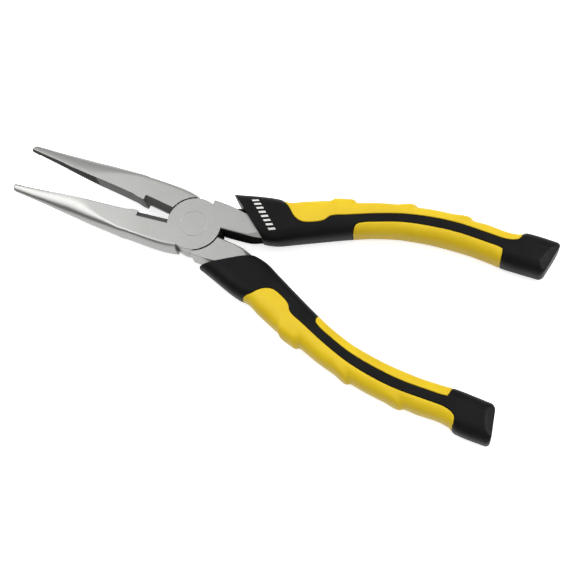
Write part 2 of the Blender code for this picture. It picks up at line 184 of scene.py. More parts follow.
# Mesh resolution: stations along x, points round a ring, and how the moulded skins are remeshed.
END_STATIONS = 8
JAW_STATIONS, JAW_RING = 110, 44
SHANK_STATIONS, SHANK_RING = 60, 6
GRIP_STATIONS, GRIP_RING = 150, 88
COLLAR_STATIONS = 24
MARK_ROWS, MARK_COLUMNS = 10, 5
OUTLINE_STEPS = 9
CIRCLE_STEPS = 160
VOXEL, KEPT_SHARE = 0.22, 0.4
SMOOTH_ROUNDS, SMOOTH_FACTOR = 6, 0.5


# Small geometry helpers.

def curve_at(points, x):
    """The smooth curve through points, read at x. Its slopes never overshoot the points."""
    if x <= points[0][0]:
        return points[0][1]
    if x >= points[-1][0]:
        return points[-1][1]
    i = max(k for k in range(len(points) - 1) if points[k][0] <= x)
    rises = [(b[1] - a[1]) / (b[0] - a[0]) for a, b in zip(points, points[1:])]

    def slope(k):
        if k == 0 or k == len(points) - 1:
            return rises[min(k, len(rises) - 1)]
        before, after = rises[k - 1], rises[k]
        return 0 if before * after <= 0 else 2 * before * after / (before + after)

    (x0, y0), (x1, y1) = points[i], points[i + 1]
    span = x1 - x0
    t = (x - x0) / span
    return ((1 + 2 * t) * (1 - t) ** 2 * y0 + t * (1 - t) ** 2 * span * slope(i)
            + t * t * (3 - 2 * t) * y1 + t * t * (t - 1) * span * slope(i + 1))


def smooth_outline(points, steps):
    """A Catmull-Rom curve in plan through points."""
    ends = [points[0], *points, points[-1]]
    found = []
    for a, b, c, d in zip(ends, ends[1:], ends[2:], ends[3:]):
        for k in range(steps):
            t = k / steps
            found.append([0.5 * (2 * b[i] + (c[i] - a[i]) * t
                                 + (2 * a[i] - 5 * b[i] + 4 * c[i] - d[i]) * t * t
                                 + (3 * b[i] - a[i] - 3 * c[i] + d[i]) * t ** 3) for i in (0, 1)])
    return found + [list(points[-1])]


def spread(start, end, count):
    """count even values from start to end."""
    return [start + (end - start) * k / (count - 1) for k in range(count)]


def ramp(x, start, end):
    """0 before start, 1 after end, a smooth step between."""
    t = max(0.0, min(1.0, (x - start) / (end - start)))
    return t * t * (3 - 2 * t)


def soft_min(a, b, width):
    """The smaller of a and b, with the corner between them rounded where they differ by less than width."""
    near = max(width - abs(a - b), 0.0) / width
    return min(a, b) - near * near * width / 4


def object_from(bm, name):
    """A new object in the scene from bm, with its faces pointing out."""
    bmesh.ops.recalc_face_normals(bm, faces=bm.faces)
    mesh = bpy.data.meshes.new(name)
    bm.to_mesh(mesh)
    bm.free()
    obj = bpy.data.objects.new(name, mesh)
    bpy.context.scene.collection.objects.link(obj)
    return obj


def loft(name, rings):
    """One closed body through rings of equal point counts, capped flat at both ends."""
    bm = bmesh.new()
    rows = [[bm.verts.new(p) for p in ring] for ring in rings]
    for first, second in zip(rows, rows[1:]):
        for k in range(len(first)):
            after = (k + 1) % len(first)
            bm.faces.new((first[k], first[after], second[after], second[k]))
    bm.faces.new(rows[0])
    bm.faces.new(rows[-1])
    return object_from(bm, name)


def prism(name, outline, low, high):
    """A flat outline in plan, raised from low to high."""
    return loft(name, [[(x, y, z) for x, y in outline] for z in (low, high)])


def turned(name, profile):
    """A closed body: a profile of (radius, height), from the axis out and back, turned round the pivot."""
    bm = bmesh.new()
    inner = profile[1:-1]
    rows = []
    for k in range(CIRCLE_STEPS):
        angle = 2 * math.pi * k / CIRCLE_STEPS
        rows.append([bm.verts.new((r * math.cos(angle), r * math.sin(angle), z)) for r, z in inner])
    for first, second in zip(rows, rows[1:] + rows[:1]):
        for k in range(len(inner) - 1):
            bm.faces.new((first[k], second[k], second[k + 1], first[k + 1]))
    bm.faces.new([row[0] for row in rows])
    bm.faces.new([row[-1] for row in rows])
    return object_from(bm, name)


def combine(obj, operation, *others):
    """Applies Booleans one by one and removes the other objects."""
    for other in others:
        step = obj.modifiers.new(operation.lower(), "BOOLEAN")
        step.operation = operation
        step.object = other
        apply_modifiers(obj)
        bpy.data.objects.remove(other)
    return obj


def apply_modifiers(obj):
    """Makes what the modifiers show the object's own mesh."""
    graph = bpy.context.evaluated_depsgraph_get()
    result = bpy.data.meshes.new_from_object(obj.evaluated_get(graph))
    obj.modifiers.clear()
    obj.data = result


# The steel halves.

def jaw_ring(x, side):
    """A D shaped ring: chamfered at the gripping face, rounded outside, with flat upper and lower faces."""
    width, height = curve_at(JAW_WIDTH, x), curve_at(JAW_HALF_HEIGHT, x)
    blunt = min(1.0, (x + JAW_LENGTH) / TIP_ROUNDING)
    shrink = TIP_SHARE + (1 - TIP_SHARE) * math.sqrt(1 - (1 - blunt) ** 2)
    square = curve_at(JAW_POWER, x)
    power, proud = 2 / square, (1 - curve_at(FACE_EDGE, x) ** square) ** (-1 / square)
    chamfer, gap = curve_at(BITE_CHAMFER, x), curve_at(JAW_BITE_GAP, x)
    ring = []
    for k in range(JAW_RING + 1):
        angle = math.pi * (0.5 - k / JAW_RING)
        across = chamfer + (width * shrink - chamfer) * max(0.0, math.cos(angle)) ** power
        up = height * shrink * soft_min(1.0, proud * abs(math.sin(angle)) ** power, FACE_BLEND)
        ring.append((x, -side * (gap + across), math.copysign(up, math.sin(angle))))
    top, bottom = ring[0], ring[-1]
    ring.insert(0, (x, -side * gap, top[2] - chamfer))
    ring.append((x, -side * gap, bottom[2] + chamfer))
    return ring


def shank_ring(x, side, grow_y=0.0, grow_z=0.0, outer_extra=0.0, inner_extra=0.0):
    """A rounded box between the steel's inner and outer edges, grown where a socket or a collar needs it."""
    inner, outer, half = (curve_at(edge, x) for edge in (SHANK_INNER, SHANK_OUTER, SHANK_HALF_THICKNESS))
    outer += grow_y + outer_extra
    inner -= grow_y + inner_extra
    half += grow_z
    corner, bevel = curve_at(SHANK_CORNER, x), curve_at(INNER_BEVEL, x)
    ring = []
    for k in range(SHANK_RING + 1):
        angle = math.pi / 2 * k / SHANK_RING
        ring.append((outer - corner * (1 - math.cos(angle)), half - corner * (1 - math.sin(angle))))
    for k in range(SHANK_RING + 1):
        share = k / SHANK_RING
        ring.append((inner + bevel * (1 - share), half - BEVEL_STEEPNESS * bevel * share))
    ring += [(y, -z) for y, z in reversed(ring)]
    return [(x, side * y, z) for y, z in ring]


def cutter_tool(side):
    """The space beside the joint that leaves the side cutter. Its section lies across x."""
    section = [(CUT_MARGIN, CUT_HEIGHT), (-CUTTER_HOLLOW, CUT_HEIGHT), (-CUTTER_HOLLOW, HALF_STEEL),
               (-BITE_GAP, CUTTER_EDGE_HEIGHT), (-CUTTER_RELIEF, -HALF_STEEL), (-CUTTER_RELIEF, -CUT_HEIGHT),
               (CUT_MARGIN, -CUT_HEIGHT)]
    return loft("cutter_tool", [[(x, side * y, z) for y, z in section] for x in (CUTTER_START, CUTTER_END)])


def teeth_tool(side):
    """A saw edge in plan that cuts the gripping teeth."""
    count = round((TEETH_END - TEETH_START) / TOOTH_PITCH)
    outline = [(TEETH_START, CUT_MARGIN), (TEETH_START, -BITE_GAP)]
    for k in range(count):
        x = TEETH_START + k * TOOTH_PITCH
        outline += [(x + TOOTH_PITCH / 2, -BITE_GAP - TOOTH_DEPTH), (x + TOOTH_PITCH, -BITE_GAP)]
    outline.append((TEETH_END, CUT_MARGIN))
    return prism("teeth_tool", [(x, side * y) for x, y in outline], -CUT_HEIGHT, CUT_HEIGHT)


def disc(low, high):
    """A half's round layer, its rims broken."""
    rim = JOINT_RADIUS - EDGE_BREAK
    return turned("disc", [(0, high), (rim, high), (JOINT_RADIUS, high - EDGE_BREAK),
                           (JOINT_RADIUS, low + EDGE_BREAK), (rim, low), (0, low)])


def seat(side):
    """The round pocket for the other half's disc, flared at the face."""
    radius, middle = JOINT_RADIUS + JOINT_GAP, LAYER_GAP / 2
    profile = [(0, CUT_HEIGHT), (radius + CUT_MARGIN + EDGE_BREAK, CUT_HEIGHT),
               (radius + EDGE_BREAK, HALF_STEEL), (radius, HALF_STEEL - EDGE_BREAK),
               (radius, -middle), (0, -middle)]
    if side > 0:
        profile = [(r, -z) for r, z in reversed(profile)]
    return turned("seat", profile)


def rivet_profile(gap):
    """Radius and height of the rivet's outside, or of its hole when gap is above zero, from the top down."""
    top = HALF_STEEL if gap == 0 else CUT_HEIGHT
    head, shank = RIVET_HEAD + gap, RIVET_SHANK + gap
    rim = head - RIVET_EDGE if gap == 0 else head
    half = [(0, top), (rim, top), (head, top - RIVET_EDGE), (head, HALF_STEEL - RIVET_RIM),
            (shank, RIVET_STRAIGHT)]
    return half + [(r, -z) for r, z in reversed(half)]


def steel_half(name, side):
    """Jaw, joint disc, shank and tang in one forging. The front half's disc is the upper layer."""
    tip = [-JAW_LENGTH + TIP_ROUNDING * (1 - math.cos(math.pi / 2 * k / END_STATIONS))
           for k in range(END_STATIONS)]
    stations = tip + spread(-JAW_LENGTH + TIP_ROUNDING, JAW_END, JAW_STATIONS)
    half = loft(name, [jaw_ring(x, side) for x in stations])
    combine(half, "DIFFERENCE", teeth_tool(side), cutter_tool(side))
    shank = loft("shank", [shank_ring(x, side) for x in spread(SHANK_START, TANG_END, SHANK_STATIONS)])
    own_disc = disc(0, HALF_STEEL) if side > 0 else disc(-HALF_STEEL, 0)
    combine(half, "UNION", shank, own_disc)
    combine(half, "DIFFERENCE", seat(side), turned("rivet_hole", rivet_profile(RIVET_GAP)))
    mark_dark_faces(half, side)
    return half


def bite_darkness(face, side):
    """How dark a face of the teeth or the side cutter is painted, as shade, and 0 on any other face."""
    x, y, _ = face.center
    on_jaw = x < CUTTER_END + CUT_MARGIN and -side * y < CUTTER_HOLLOW + BITE_SKIN
    faces_bite = side * face.normal.y > BITE_FACING or face.normal.x > NOTCH_FACING
    if not (on_jaw and faces_bite):
        return 0.0
    return 1.0 if x < TEETH_END else CUTTER_DARKNESS


def is_within_joint(face):
    """Whether a face belongs to the seat's wall or to the layers' meeting faces."""
    x, y, z = face.center
    radius = math.hypot(x, y)
    in_seat = radius < JOINT_RADIUS + JOINT_GAP + EDGE_BREAK / 2 and abs(z) < HALF_STEEL - FACE_SKIN
    faces_pivot = face.normal.x * x + face.normal.y * y < -PIVOT_FACING * radius
    return in_seat and (faces_pivot or abs(z) < LAYER_GAP)


def is_inner_wall(face, side):
    """Whether a face belongs to the crotch behind the joint or to the shank's inner wall."""
    x, y, _ = face.center
    inward = side * face.normal.y
    near_joint = x > CROTCH_START and math.hypot(x, y) < JOINT_RADIUS + CROTCH_REACH
    crotch = near_joint and face.normal.x > CROTCH_FACING and inward < CROTCH_ASIDE
    return crotch or (x > INNER_WALL_START and inward < -INNER_WALL_FACING)


def mark_dark_faces(half, side):
    """Face attributes of the steel, both painted shade: bite on the teeth and the cutter, and scale on the
    crotch, the walls within the joint and the shank's inner walls.
    """
    bite = half.data.attributes.new("bite", "FLOAT", "FACE")
    scale = half.data.attributes.new("scale", "FLOAT", "FACE")
    for face, bitten, shaded in zip(half.data.polygons, bite.data, scale.data):
        bitten.value = bite_darkness(face, side)
        shaded.value = 1.0 if is_within_joint(face) or is_inner_wall(face, side) else 0.0


# The handles.

def ridge_height(x, around):
    """How far the ridges stand out at x. around is 0 at the outer edge and 1 at the middle of a face."""
    total = 0.0
    for start, crest, end, height, lean in RIDGES:
        shift = -lean * min(around, 1.0)
        rise = ramp(x, start + shift, crest + shift)
        drop = ramp(x, end - RIDGE_DROP + shift, end + shift)
        scoop = drop * (1 - ramp(x, end + shift, end + shift + SCOOP_LENGTH))
        total += height * rise * (1 - drop) - SCOOP_DEPTH * scoop
    return total * (1 - ramp(around, *RIDGE_FADE))


def facet_limit(x, y):
    """The half height under the heel's slanting facet, whose edge runs from the outer to the inner side."""
    share = (y - HEEL_INNER_SIDE) / HEEL_WIDTH
    edge = HEEL_FACET_INNER + (HEEL_FACET_OUTER - HEEL_FACET_INNER) * share
    return HALF_GRIP - HEEL_FACET_SLOPE * max(0.0, x - edge)


def grip_ring(x, side, depth_side=0.0, depth_face=0.0, ridges=False):
    """A superellipse between the grip's edges, made smaller by the depths given.

    x is where the section meets the outer edge. It meets the inner edge further forward or back.
    """
    inner_x = x + curve_at(GRIP_LEAN, x)
    trim = curve_at(REAR_GUARD_TRIM, x) if side < 0 else 0.0
    outer = Vector((x, curve_at(GRIP_OUTER, x) - trim))
    inner = Vector((inner_x, curve_at(GRIP_INNER, inner_x)))
    across = (outer - inner).normalized()
    late = max(0.0, (x - HANDLE_END + HEEL_ROUNDING) / HEEL_ROUNDING)
    rounding = HEEL_ROUNDING * (1 - math.sqrt(max(0.0, 1 - late * late)))
    outer -= across * (depth_side + rounding)
    inner += across * (depth_side + rounding)
    half = curve_at(GRIP_HALF_THICKNESS, x) - depth_face
    middle, reach = (outer + inner) / 2, (outer - inner) / 2
    ring = []
    for k in range(GRIP_RING):
        angle = 2 * math.pi * (k + 0.5) / GRIP_RING
        c, s = math.cos(angle), math.sin(angle)
        spot = middle + reach * math.copysign(abs(c) ** (2 / GRIP_SQUARENESS), c)
        ridge = ridge_height(x, abs(math.asin(s)) / (math.pi / 2)) if ridges and c > 0 else 0.0
        spot += across * ridge
        up = half * min(1.0, GRIP_FACE_CUT * abs(s) ** (2 / GRIP_SQUARENESS))
        up = min(up, facet_limit(spot.x, spot.y) - depth_face) + ridge * RIDGE_LIFT * abs(s)
        ring.append((spot.x, side * spot.y, math.copysign(up, s)))
    return ring


def grip_body(name, side, start=None, end=HANDLE_END, **shape):
    """The grip from its guard, or from start, to end. The heel is rounded if it runs to the handle's end."""
    if start is None:
        start = GRIP_START if side > 0 else GRIP_START - REAR_GUARD_FORWARD
    stations = spread(start, end - HEEL_ROUNDING, GRIP_STATIONS)
    if end == HANDLE_END:
        stations += [end - HEEL_ROUNDING * (1 - math.sin(math.pi / 2 * k / END_STATIONS))
                     for k in range(1, END_STATIONS + 1)]
    return loft(name, [grip_ring(x, side, **shape) for x in stations])


def inlay_prism(name, edge, back, side, shrink):
    """The plan region of an inlay, from its edge line out to y = back, pulled in by shrink all round."""
    line = smooth_outline(edge, OUTLINE_STEPS)
    moved = []
    for k, (x, y) in enumerate(line):
        before, after = Vector(line[max(0, k - 1)]), Vector(line[min(len(line) - 1, k + 1)])
        along = (after - before).normalized()
        inward = Vector((-along.y, along.x)) * (1 if back > y else -1)
        moved.append(Vector((x, y)) + inward * shrink)
    outline = [(moved[0].x, back), *[tuple(p) for p in moved], (moved[-1].x, back)]
    return prism(name, [(x, side * y) for x, y in outline], -ABOVE_GRIP, ABOVE_GRIP)


def bed(side, gap):
    """What is left of the grip's body under an inlay."""
    return grip_body("bed", side, GRIP_START + BED_INSET, HANDLE_END - BED_INSET,
                     depth_side=INLAY_DEPTH_SIDE + gap / 2, depth_face=INLAY_DEPTH_FACE + gap / 2)


def soften(obj):
    """Turns crisp joined shapes into one moulded skin with soft edges."""
    skin = obj.modifiers.new("skin", "REMESH")
    skin.mode = "VOXEL"
    skin.voxel_size = VOXEL
    ease = obj.modifiers.new("ease", "SMOOTH")
    ease.factor = SMOOTH_FACTOR
    ease.iterations = SMOOTH_ROUNDS
    thin = obj.modifiers.new("thin", "DECIMATE")
    thin.ratio = KEPT_SHARE
    apply_modifiers(obj)
    return obj


def inlay(name, edge, back, side, ridges):
    """A C shaped shell that wraps the core's side. ridges adds the finger ridges."""
    piece = grip_body(name, side, ridges=ridges)
    combine(piece, "INTERSECT", inlay_prism("inlay_outline", edge, back, side, MOULD_GAP / 2))
    combine(piece, "DIFFERENCE", bed(side, -MOULD_GAP))
    return soften(piece)


def collar(side):
    """The sleeve that runs ahead of the guard along the shank's edges."""
    rings = []
    for x in spread(COLLAR_OUTER[0], COLLAR_END, COLLAR_STATIONS):
        outer = COLLAR_OUTER_GROWTH * ramp(x, *COLLAR_OUTER)
        inner = COLLAR_INNER_GROWTH * ramp(x, *COLLAR_INNER)
        rings.append(shank_ring(x, side, grow_z=-COLLAR_STEP, outer_extra=outer, inner_extra=inner))
    return loft("collar", rings)


def tang_socket(side):
    """The shank's own shape, grown by the socket's clearance."""
    rings = [shank_ring(x, side, grow_y=SOCKET_GAP, grow_z=SOCKET_GAP)
             for x in spread(SHANK_START, TANG_END, SHANK_STATIONS)]
    rings.append([(TANG_END + SOCKET_GAP, y, z) for _, y, z in rings[-1]])
    return loft("tang_socket", rings)


def grip_core(name, side):
    """The hard sleeve: guard, collar, centre rib and heel, with beds for the inlays and the tang's socket."""
    core = grip_body(name, side)
    combine(core, "UNION", collar(side))
    for edge, back in ((OUTER_INLAY_EDGE, OUTER_INLAY_BACK), (INNER_INLAY_EDGE, INNER_INLAY_BACK)):
        room = inlay_prism("inlay_room", edge, back, side, -MOULD_GAP / 2)
        combine(room, "DIFFERENCE", bed(side, MOULD_GAP))
        combine(core, "DIFFERENCE", room)
    combine(core, "DIFFERENCE", tang_socket(side))
    return soften(core)


def guard_mark(core):
    """Slanted bars laid on the sleeve's upper surface."""
    surface = BVHTree.FromObject(core, bpy.context.evaluated_depsgraph_get())
    along = MARK_STEP.normalized()
    across = Vector((-along.y, along.x))
    bm = bmesh.new()
    for k in range(MARK_BARS):
        rings = []
        for share in spread(-0.5, 0.5, MARK_ROWS):
            middle = MARK_START + MARK_STEP * k + (across + along * MARK_SLANT) * MARK_BAR_HEIGHT * share
            spots = [middle + along * MARK_BAR_WIDTH * reach for reach in spread(-0.5, 0.5, MARK_COLUMNS)]
            feet = [surface.ray_cast(Vector((*spot, ABOVE_GRIP)), Vector((0, 0, -1)))[0] for spot in spots]
            top = [(x, y, z + MARK_PROUD) for x, y, z in feet]
            rings.append(top + [(x, y, z - MARK_SUNK) for x, y, z in reversed(feet)])
        bar = loft("bar", rings)
        bm.from_mesh(bar.data)
        bpy.data.objects.remove(bar)
    return object_from(bm, "front_guard_mark")


# Materials. Colours are linear. A grain's scale is in features per metre, and depths, sizes and radii are in
# metres. A pair is a range that a value is mapped from or to. Most noise is mapped from the ranges below.

NOISE_REACH, NOISE_MIDDLE, NOISE_UPPER = (0.3, 0.7), (0.35, 0.65), (0.4, 0.7)
LOW_DETAIL, MEDIUM_DETAIL, HIGH_DETAIL = 2.0, 3.0, 4.0
SHADER_SAMPLES = 6


class Nodes:
    """A short way to build a node tree."""

    def __init__(self, tree):
        self.tree = tree

    def put(self, value, socket):
        """Links value to socket if value is a socket too, and sets it if not."""
        if isinstance(value, bpy.types.NodeSocket):
            self.tree.links.new(value, socket)
        else:
            socket.default_value = value

    def feed(self, node, inputs):
        """Sets or links a node's inputs, given by name or number."""
        for key, value in inputs.items():
            self.put(value, node.inputs[key])

    def add(self, kind, inputs=None, **settings):
        """A new node of this kind, with its inputs fed."""
        node = self.tree.nodes.new(kind)
        for key, value in settings.items():
            setattr(node, key, value)
        self.feed(node, inputs or {})
        return node

    def span(self, value, source, target):
        """value mapped from the range source to the range target, clamped."""
        made = self.add("ShaderNodeMapRange", {"Value": value, "From Min": source[0], "From Max": source[1],
                                               "To Min": target[0], "To Max": target[1]})
        return made.outputs["Result"]

    def maths(self, operation, first, second):
        return self.add("ShaderNodeMath", {0: first, 1: second}, operation=operation).outputs[0]

    def mix(self, share, first, second):
        """The colour first where share is 0, and second where it is 1."""
        made = self.add("ShaderNodeMix", {"Factor": share}, data_type="RGBA")
        for socket, value in zip([s for s in made.inputs if s.type == "RGBA"], (first, second)):
            self.put(value, socket)
        return [s for s in made.outputs if s.type == "RGBA"][0]

    def dot(self, first, second):
        made = self.add("ShaderNodeVectorMath", {0: first, 1: second}, operation="DOT_PRODUCT")
        return made.outputs["Value"]

    def attribute(self, name):
        return self.add("ShaderNodeAttribute", attribute_name=name).outputs["Fac"]

    def grain(self, scale, detail, stretch=(1, 1, 1)):
        """Noise in the piece's own space."""
        spot = self.add("ShaderNodeTexCoord").outputs["Object"]
        spot = self.add("ShaderNodeMapping", {"Vector": spot, "Scale": stretch}).outputs[0]
        made = self.add("ShaderNodeTexNoise", {"Vector": spot, "Scale": scale, "Detail": detail})
        return made.outputs["Fac"]

    def openness(self, distance):
        """1 on an open surface, and less in a hollow of about this size."""
        made = self.add("ShaderNodeAmbientOcclusion", {"Distance": distance}, samples=SHADER_SAMPLES)
        return made.outputs["AO"]

    def bump(self, height, depth, **inputs):
        made = self.add("ShaderNodeBump", {"Height": height, "Distance": depth, "Strength": 1.0, **inputs})
        return made.outputs["Normal"]


def new_material(name):
    """A new material, its node tree and its shader."""
    made = bpy.data.materials.new(name)
    made.use_nodes = True
    return made, Nodes(made.node_tree), made.node_tree.nodes["Principled BSDF"]


# Steel: its colours, its grain, the share of each colour mixed in, its roughness and its bump. Within
# EDGE_RADIUS of an edge, by the cosine between its true normal and the rounded one, the steel is painted paler
# as a highlight, and made a little smoother as if worn.
STEEL_DIM, STEEL_PALE = (0.29, 0.29, 0.283, 1), (0.335, 0.335, 0.326, 1)
STEEL_PATCH, STEEL_EDGE_HIGHLIGHT = (0.30, 0.294, 0.282, 1), (0.45, 0.45, 0.44, 1)
STEEL_BITE_SHADE, STEEL_WALL_SHADE = (0.035, 0.035, 0.032, 1), (0.02, 0.02, 0.019, 1)
STEEL_HOLLOW_SHADE = (0.06, 0.06, 0.056, 1)
MOTTLE_SCALE, PATCH_SCALE, STROKE_SCALE, STROKE_STRETCH = 3200, 120, 900, (6.0, 0.35, 0.35)
PATCH_SHARE, EDGE_HIGHLIGHT_SHARE = (0, 0.35), 0.4
STEEL_ROUGHNESS, STROKE_ROUGHNESS, WORN_SMOOTHNESS = (0.34, 0.40), (-0.03, 0.03), 0.08
STEEL_BUMP, STROKE_HEIGHT, BITE_MATTNESS = 0.000012, 0.8, 0.7
EDGE_RADIUS, EDGE_TURN = 0.00022, (0.80, 0.99)
STEEL_HOLLOW_SIZE, STEEL_HOLLOW_RANGE, STEEL_HOLLOW_SHARE = 0.0012, (0.25, 0.8), (0.7, 0.0)


def steel_material():
    """Satin ground steel: fine mottling, cross polishing strokes, a painted edge highlight, and painted shade
    on the bite faces, inner walls and hollows.
    """
    made, nodes, shader = new_material("satin_steel")
    mottle = nodes.grain(MOTTLE_SCALE, MEDIUM_DETAIL)
    patches = nodes.grain(PATCH_SCALE, MEDIUM_DETAIL)
    strokes = nodes.grain(STROKE_SCALE, LOW_DETAIL, STROKE_STRETCH)
    bite, scale = nodes.attribute("bite"), nodes.attribute("scale")
    bevel = nodes.add("ShaderNodeBevel", {"Radius": EDGE_RADIUS}, samples=SHADER_SAMPLES).outputs["Normal"]
    ground = nodes.add("ShaderNodeNewGeometry").outputs["Normal"]
    edge = nodes.span(nodes.dot(bevel, ground), EDGE_TURN, (1.0, 0.0))
    hollow = nodes.span(nodes.openness(STEEL_HOLLOW_SIZE), STEEL_HOLLOW_RANGE, STEEL_HOLLOW_SHARE)
    colour = nodes.mix(nodes.span(mottle, NOISE_REACH, (0, 1)), STEEL_DIM, STEEL_PALE)
    colour = nodes.mix(nodes.span(patches, NOISE_MIDDLE, PATCH_SHARE), colour, STEEL_PATCH)
    # Painted shade: the faces of the teeth and the side cutter are made near black.
    colour = nodes.mix(bite, colour, STEEL_BITE_SHADE)
    # Painted shade: the steel darkens in its hollows, by ambient occlusion.
    colour = nodes.mix(hollow, colour, STEEL_HOLLOW_SHADE)
    # Painted highlight: the steel is paler along its edges.
    colour = nodes.mix(nodes.maths("MULTIPLY", edge, EDGE_HIGHLIGHT_SHARE), colour, STEEL_EDGE_HIGHLIGHT)
    # Painted shade: the faces in the scale attribute, within the joint and between the handles, are made near
    # black.
    colour = nodes.mix(scale, colour, STEEL_WALL_SHADE)
    rough = nodes.maths("ADD", nodes.span(mottle, NOISE_REACH, STEEL_ROUGHNESS),
                        nodes.span(strokes, NOISE_REACH, STROKE_ROUGHNESS))
    rough = nodes.maths("SUBTRACT", rough, nodes.maths("MULTIPLY", edge, WORN_SMOOTHNESS))
    height = nodes.maths("ADD", mottle, nodes.maths("MULTIPLY", strokes, STROKE_HEIGHT))
    matt = nodes.maths("MAXIMUM", scale, nodes.maths("MULTIPLY", bite, BITE_MATTNESS))
    nodes.feed(shader, {"Base Color": colour, "Roughness": rough, "Specular IOR Level": 0.0,
                        "Metallic": nodes.maths("SUBTRACT", 1.0, matt),
                        "Normal": nodes.bump(height, STEEL_BUMP, Normal=bevel)})
    return made


# Black plastic.
BLACK_PLAIN, BLACK_RUBBED = (0.0035, 0.0035, 0.0037, 1), (0.0065, 0.0065, 0.0067, 1)
BLACK_GRAIN, BLACK_GRAIN_RANGE, BLACK_GRAIN_SHARE = (0.008, 0.008, 0.008, 1), (0.3, 0.75), (0.0, 0.5)
BLACK_GRAIN_SCALE, RUBBED_SCALE = 5200, 160
BLACK_ROUGHNESS, RUBBED_ROUGHNESS, BLACK_SHINE, BLACK_BUMP = (0.40, 0.50), (0.0, -0.06), 0.07, 0.00003


def black_material():
    """Hard moulded plastic: near black, satin, with a fine eroded grain and faint rubbed patches."""
    made, nodes, shader = new_material("black_plastic_grain")
    grain = nodes.grain(BLACK_GRAIN_SCALE, LOW_DETAIL)
    rubbed = nodes.grain(RUBBED_SCALE, HIGH_DETAIL)
    colour = nodes.mix(nodes.span(rubbed, NOISE_UPPER, (0, 1)), BLACK_PLAIN, BLACK_RUBBED)
    colour = nodes.mix(nodes.span(grain, BLACK_GRAIN_RANGE, BLACK_GRAIN_SHARE), colour, BLACK_GRAIN)
    rough = nodes.maths("ADD", nodes.span(grain, NOISE_REACH, BLACK_ROUGHNESS),
                        nodes.span(rubbed, NOISE_UPPER, RUBBED_ROUGHNESS))
    nodes.feed(shader, {"Base Color": colour, "Roughness": rough, "Specular IOR Level": BLACK_SHINE,
                        "Normal": nodes.bump(grain, BLACK_BUMP)})
    return made


# Yellow rubber. Light goes YELLOW_DEPTH into it, times the factors given for red, green and blue.
YELLOW_DEEP, YELLOW_PALE = (0.64, 0.44, 0.004, 1), (0.69, 0.49, 0.006, 1)
YELLOW_GRAIN, YELLOW_GRAIN_RANGE, YELLOW_GRAIN_SHARE = (0.57, 0.37, 0.004, 1), (0.35, 0.75), (0.0, 0.15)
YELLOW_HOLLOW_SHADE, YELLOW_HOLLOW_RANGE, YELLOW_HOLLOW_SHARE = (0.34, 0.20, 0.003, 1), (0.3, 0.9), (0.55, 0.0)
YELLOW_GRAIN_SCALE, CLOUD_SCALE, YELLOW_HOLLOW_SIZE = 4200, 90, 0.0015
YELLOW_ROUGHNESS, YELLOW_SHINE, YELLOW_BUMP = (0.40, 0.50), 0.22, 0.000018
YELLOW_DEPTH, YELLOW_DEPTH_BY_COLOUR, YELLOW_GLOW = 0.0006, (1.0, 0.5, 0.1), 0.12


def yellow_material():
    """Soft satin rubber with a fine skin. A little light goes into it, and its crevices are painted a deeper
    yellow as shade.
    """
    made, nodes, shader = new_material("yellow_rubber_skin")
    grain = nodes.grain(YELLOW_GRAIN_SCALE, LOW_DETAIL)
    cloud = nodes.grain(CLOUD_SCALE, MEDIUM_DETAIL)
    hollow = nodes.span(nodes.openness(YELLOW_HOLLOW_SIZE), YELLOW_HOLLOW_RANGE, YELLOW_HOLLOW_SHARE)
    colour = nodes.mix(nodes.span(cloud, NOISE_MIDDLE, (0, 1)), YELLOW_DEEP, YELLOW_PALE)
    colour = nodes.mix(nodes.span(grain, YELLOW_GRAIN_RANGE, YELLOW_GRAIN_SHARE), colour, YELLOW_GRAIN)
    # Painted shade: crevices are a deeper yellow, by ambient occlusion.
    colour = nodes.mix(hollow, colour, YELLOW_HOLLOW_SHADE)
    nodes.feed(shader, {"Base Color": colour, "Roughness": nodes.span(grain, NOISE_REACH, YELLOW_ROUGHNESS),
                        "Specular IOR Level": YELLOW_SHINE, "Normal": nodes.bump(grain, YELLOW_BUMP),
                        "Subsurface Weight": YELLOW_GLOW, "Subsurface Radius": YELLOW_DEPTH_BY_COLOUR,
                        "Subsurface Scale": YELLOW_DEPTH})
    return made


# The print.
PRINT_PALE, PRINT_WORN, PRINT_ROUGHNESS = (0.66, 0.66, 0.64, 1), (0.2, 0.2, 0.2, 1), 0.6
PRINT_SCALE, PRINT_WEAR_RANGE, PRINT_WEAR_SHARE = 2600, (0.35, 0.6), (0.35, 0.0)


def mark_material():
    """Matt pale print, a little worn."""
    made, nodes, shader = new_material("pale_print")
    wear = nodes.span(nodes.grain(PRINT_SCALE, MEDIUM_DETAIL), PRINT_WEAR_RANGE, PRINT_WEAR_SHARE)
    nodes.feed(shader, {"Base Color": nodes.mix(wear, PRINT_PALE, PRINT_WORN), "Roughness": PRINT_ROUGHNESS})
    return made


# Placing pieces on the frame.

# The angle in degrees from which an edge is shaded sharp.
STEEL_SHARP, MOULDED_SHARP = 30, 60


def place(obj, side, body, node, look, sharp=STEEL_SHARP):
    """Swings obj open on the row frame, in metres. It rides on body and takes node's place, if one is given."""
    obj.data.transform(Matrix.Translation((0, 0, JOINT_HEIGHT)) @ Matrix.Rotation(side * SWING, 4, "Z")
                       @ Matrix.Scale(MM, 4))
    obj.data.materials.clear()
    obj.data.materials.append(look)
    obj.data.shade_smooth()
    obj.data.set_sharp_from_angle(angle=math.radians(sharp))
    even = obj.modifiers.new("even_normals", "WEIGHTED_NORMAL")
    even.keep_sharp = True
    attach(obj, body)
    if node:
        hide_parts(node)


